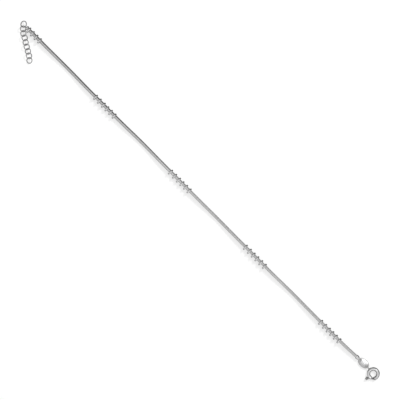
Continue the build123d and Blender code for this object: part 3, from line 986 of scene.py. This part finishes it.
def floor_material(colour):
    """White to the camera, and in the metal a painted reflection: grey, and darker towards +Y as beside a
    dark card that is not there. A plain matte floor for the light that it bounces. Part of the white is matte
    too, so that the shadow stays."""
    material = bpy.data.materials.new("floor_white")
    material.use_nodes = True
    tree = material.node_tree
    tree.nodes.remove(tree.nodes["Principled BSDF"])
    rays = new_node(tree, "LightPath")
    camera, glossy = rays.outputs["Is Camera Ray"], rays.outputs["Is Glossy Ray"]
    mirrored = math_node(tree, "MAXIMUM", glossy, rays.outputs["Is Transmission Ray"])
    tint = new_node(tree, "Mix")
    tint.data_type = "RGBA"
    tree.links.new(math_node(tree, "MAXIMUM", camera, mirrored), tint.inputs["Factor"])
    tint.inputs[6].default_value = (*colour, 1.0)
    place = new_node(tree, "SeparateXYZ")
    tree.links.new(new_node(tree, "TexCoord").outputs["Object"], place.inputs[0])
    grey = math_node(tree, "MULTIPLY_ADD", place.outputs["Y"], MIRRORED_SLOPE, MIRRORED_MIDDLE)
    grey = math_node(tree, "MINIMUM", math_node(tree, "MAXIMUM", grey, MIRRORED_LEAST), MIRRORED_MOST)
    in_metal = math_node(tree, "MULTIPLY", mirrored, grey)
    white = math_node(tree, "MULTIPLY", camera, FLOOR_MATTE)
    tree.links.new(math_node(tree, "ADD", white, in_metal), tint.inputs[7])
    matte = new_node(tree, "BsdfDiffuse")
    tree.links.new(tint.outputs[2], matte.inputs["Color"])
    glow = new_node(tree, "Emission")
    seen = math_node(tree, "MULTIPLY", camera, FLOOR_GLOW)
    level = math_node(tree, "ADD", seen, math_node(tree, "MULTIPLY", mirrored, MIRRORED_GLOW))
    tree.links.new(level, glow.inputs["Strength"])
    both = new_node(tree, "AddShader")
    tree.links.new(matte.outputs["BSDF"], both.inputs[0])
    tree.links.new(glow.outputs["Emission"], both.inputs[1])
    tree.links.new(both.outputs["Shader"], tree.nodes["Material Output"].inputs["Surface"])
    return material


def studio_world():
    """A grey studio, darker towards +Y, with a few softly edged brighter areas, each the dot product of the
    direction and its own direction to a power. White where the camera sees it."""
    world = bpy.data.worlds.new("studio")
    world.use_nodes = True
    tree = world.node_tree
    direction = new_node(tree, "TexCoord").outputs["Generated"]
    split = new_node(tree, "SeparateXYZ")
    tree.links.new(direction, split.inputs[0])
    ramp = new_node(tree, "ValToRGB")
    tree.links.new(math_node(tree, "MULTIPLY_ADD", split.outputs["Y"], 0.5, 0.5), ramp.inputs["Fac"])
    for i, (at, grey) in enumerate(WORLD_GREYS):
        stop = ramp.color_ramp.elements[i] if i < 2 else ramp.color_ramp.elements.new(at)
        stop.position = at
        stop.color = (grey, grey, grey, 1.0)
    light = math_node(tree, "MULTIPLY_ADD", split.outputs["X"], 0.12, ramp.outputs["Color"])
    for towards, power, level in WORLD_AREAS:
        dot = new_node(tree, "VectorMath")
        dot.operation = "DOT_PRODUCT"
        tree.links.new(direction, dot.inputs[0])
        dot.inputs[1].default_value = unit(towards)
        lobe = math_node(tree, "POWER", math_node(tree, "MAXIMUM", dot.outputs["Value"], 0.0), power)
        light = math_node(tree, "ADD", light, math_node(tree, "MULTIPLY", lobe, level))
    camera = new_node(tree, "LightPath").outputs["Is Camera Ray"]
    tree.links.new(math_node(tree, "MAXIMUM", light, camera), tree.nodes["Background"].inputs["Color"])
    return world


class ANKLET_OT_stage(Operator):
    """Make the floor, the lamps, the world and the camera"""

    bl_idname = "anklet.add_stage"
    bl_label = "Studio"

    def execute(self, context):
        stage = context.scene.anklet_stage
        scene = context.scene
        scene.view_settings.view_transform = "Standard"
        low = CAD_BOX[0].z
        corners = [(x, y, low) for x, y in ((-2, -2), (2, -2), (2, 2), (-2, 2))]
        floor = bpy.data.meshes.new("floor")
        floor.from_pydata(corners, [], [(0, 1, 2, 3)])
        floor.materials.append(floor_material(stage.floor))
        holder = bpy.data.objects.new("floor", floor)
        scene.collection.objects.link(holder)
        scene.world = studio_world()
        area_lamp("key", (0.0, 0.57, 0.47), (0.0, 0.0, 0.0), (0.22, 0.22), 4.4, glossy=False)
        area_lamp("strip", (0.155, 0.30, 0.60), (0.108, 0.005, 0.0), (0.035, 0.60), 0.08, glossy=True)
        area_lamp("reflector", (0.15, 0.40, 0.18), (0.05, 0.0, 0.0), (0.28, 0.16), 0.04, glossy=True)
        camera = bpy.data.cameras.new("camera")
        camera.sensor_width = 36.0
        camera.lens = camera.sensor_width * stage.height / stage.span
        camera.clip_end = 20.0
        view = bpy.data.objects.new("camera", camera)
        view.location = (*stage.aim, stage.height)
        view.rotation_euler = (0.0, 0.0, stage.turn)
        scene.collection.objects.link(view)
        scene.camera = view
        return {"FINISHED"}


# ---- the add-on ----


SETTINGS = {
    "anklet_metal": MetalSettings,
    "anklet_chain": ChainSettings,
    "anklet_beads": BeadSettings,
    "anklet_links": LinkSettings,
    "anklet_caps": CapSettings,
    "anklet_tag": TagSettings,
    "anklet_clasp": ClaspSettings,
    "anklet_stage": StageSettings,
}
OPERATORS = (
    ANKLET_OT_stage,
    ANKLET_OT_chain,
    ANKLET_OT_beads,
    ANKLET_OT_extender,
    ANKLET_OT_end_caps,
    ANKLET_OT_tag,
    ANKLET_OT_spring_ring,
    ANKLET_OT_bolt,
)


class ANKLET_PT_panel(Panel):
    """Lists the anklet's pieces and their sizes"""

    bl_idname = "ANKLET_PT_panel"
    bl_label = "Payal anklet"
    bl_space_type = "VIEW_3D"
    bl_region_type = "UI"
    bl_category = "Anklet"

    def draw(self, context):
        for operator in OPERATORS:
            self.layout.operator(operator.bl_idname)
        for name in SETTINGS:
            box = self.layout.box()
            settings = getattr(context.scene, name)
            for prop in settings.bl_rna.properties:
                if prop.identifier not in {"rna_type", "name"}:
                    box.prop(settings, prop.identifier)


def register():
    for name, kind in SETTINGS.items():
        bpy.utils.register_class(kind)
        setattr(bpy.types.Scene, name, PointerProperty(type=kind))
    for kind in (*OPERATORS, ANKLET_PT_panel):
        bpy.utils.register_class(kind)


def unregister():
    for kind in (ANKLET_PT_panel, *reversed(OPERATORS)):
        bpy.utils.unregister_class(kind)
    for name, kind in reversed(SETTINGS.items()):
        delattr(bpy.types.Scene, name)
        bpy.utils.unregister_class(kind)


def main():
    register()
    for operator in OPERATORS:
        group, name = operator.bl_idname.split(".")
        getattr(getattr(bpy.ops, group), name)()


if __name__ == "__main__":
    main()
